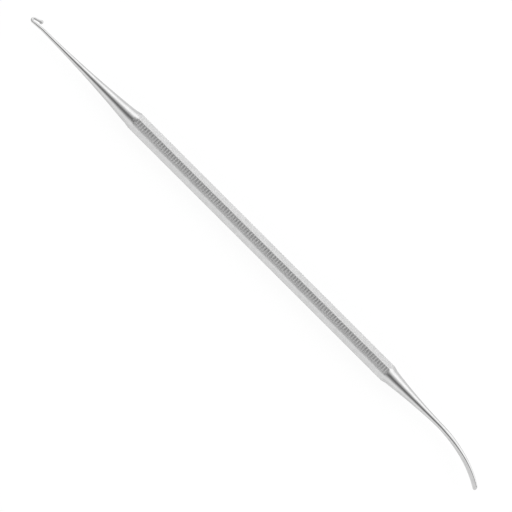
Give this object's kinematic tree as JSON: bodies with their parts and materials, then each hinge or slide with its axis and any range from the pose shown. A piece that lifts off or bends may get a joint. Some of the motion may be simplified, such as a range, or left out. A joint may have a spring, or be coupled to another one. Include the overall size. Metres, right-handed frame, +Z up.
{
  "type": "phlebectomy hook",
  "caption": "Slim one-piece surgical hand instrument: ribbed octagonal grip, a tiny beaded hook at one end and a curved flat spatula at the other.",
  "frame": {"origin": "middle of the bar's bottom flat, at mid-length of the grip", "axes": "+X along the bar from the hook to the spatula, +Z up out of the bottom flat, +Y towards the side the hook's mouth opens to"},
  "size_m": [0.18, 0.0088, 0.0063],
  "materials": {
    "stainless_steel": "satin polished surgical stainless steel"
  },
  "bodies": {
    "root": {"vein_hook": "stainless_steel"}
  },
  "joints": []
}
